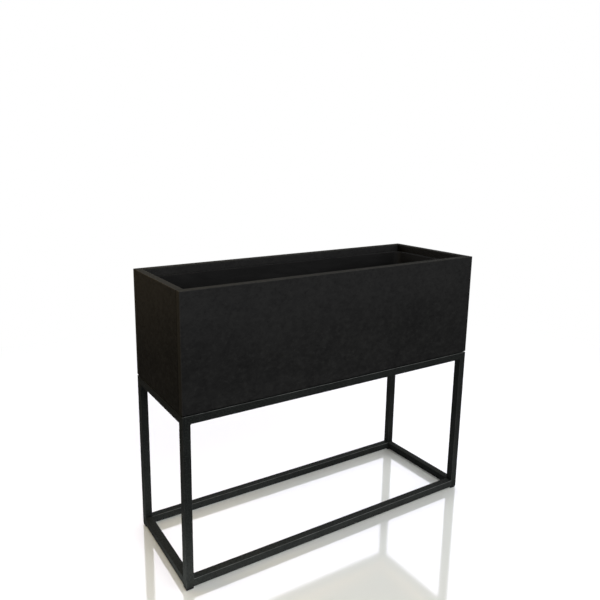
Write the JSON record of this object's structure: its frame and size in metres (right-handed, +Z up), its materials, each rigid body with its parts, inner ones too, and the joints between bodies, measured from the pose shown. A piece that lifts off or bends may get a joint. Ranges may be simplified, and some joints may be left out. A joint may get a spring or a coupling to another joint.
{
  "type": "raised planter",
  "caption": "Long narrow planter: a square-cornered board trough with a lift-out plastic liner, standing on rubber pads over a welded square-tube stand with upper and lower rails.",
  "frame": {"origin": "on the ground at the middle of the footprint", "axes": "+X along the length to the right end, +Y to the back, +Z up"},
  "size_m": [0.9, 0.3, 0.721],
  "materials": {
    "powder_coated_steel": "satin black powder coat with a fine texture",
    "dyed_board": "matte charcoal fibre board, dyed through, eased edges",
    "batten_wood": "planed softwood, unfinished",
    "dowel_wood": "fluted hardwood dowel, unfinished",
    "screw_steel": "zinc-plated",
    "foot_plastic": "black moulded plastic",
    "liner_plastic": "black moulded plastic, fine grain",
    "pad_rubber": "black rubber"
  },
  "bodies": {
    "stand": {"leg_front_left": "powder_coated_steel", "leg_front_right": "powder_coated_steel", "leg_rear_left": "powder_coated_steel", "leg_rear_right": "powder_coated_steel", "leg_cap_front_left": "powder_coated_steel", "leg_cap_front_right": "powder_coated_steel", "leg_cap_rear_left": "powder_coated_steel", "leg_cap_rear_right": "powder_coated_steel", "foot_front_left": "foot_plastic", "foot_front_right": "foot_plastic", "foot_rear_left": "foot_plastic", "foot_rear_right": "foot_plastic", "top_rail_front": "powder_coated_steel", "top_rail_rear": "powder_coated_steel", "top_rail_left": "powder_coated_steel", "top_rail_right": "powder_coated_steel", "bottom_rail_front": "powder_coated_steel", "bottom_rail_rear": "powder_coated_steel", "bottom_rail_left": "powder_coated_steel", "bottom_rail_right": "powder_coated_steel"},
    "box": {"front_wall": "dyed_board", "rear_wall": "dyed_board", "left_end_wall": "dyed_board", "right_end_wall": "dyed_board", "floor_board": "dyed_board", "cleat_front": "batten_wood", "cleat_rear": "batten_wood", "cleat_left": "batten_wood", "cleat_right": "batten_wood", "locating_block_front_left": "batten_wood", "locating_block_front_right": "batten_wood", "locating_block_rear_left": "batten_wood", "locating_block_rear_right": "batten_wood", "corner_dowels": "dowel_wood", "cleat_screws": "screw_steel", "floor_screws": "screw_steel", "block_screws": "screw_steel", "rest_pads": "pad_rubber"},
    "liner": {"liner_tub": "liner_plastic"},
    "bung": {"drain_bung": "pad_rubber"}
  },
  "joints": [
    {"name": "box_lift", "type": "slide", "parent": "stand", "child": "box", "axis": [0, 0, 1], "range_m": [0, 0.15]},
    {"name": "liner_lift", "type": "slide", "parent": "box", "child": "liner", "axis": [0, 0, 1], "range_m": [0, 0.25]},
    {"name": "bung_pull", "type": "slide", "parent": "liner", "child": "bung", "axis": [0, 0, 1], "range_m": [0, 0.03]}
  ]
}
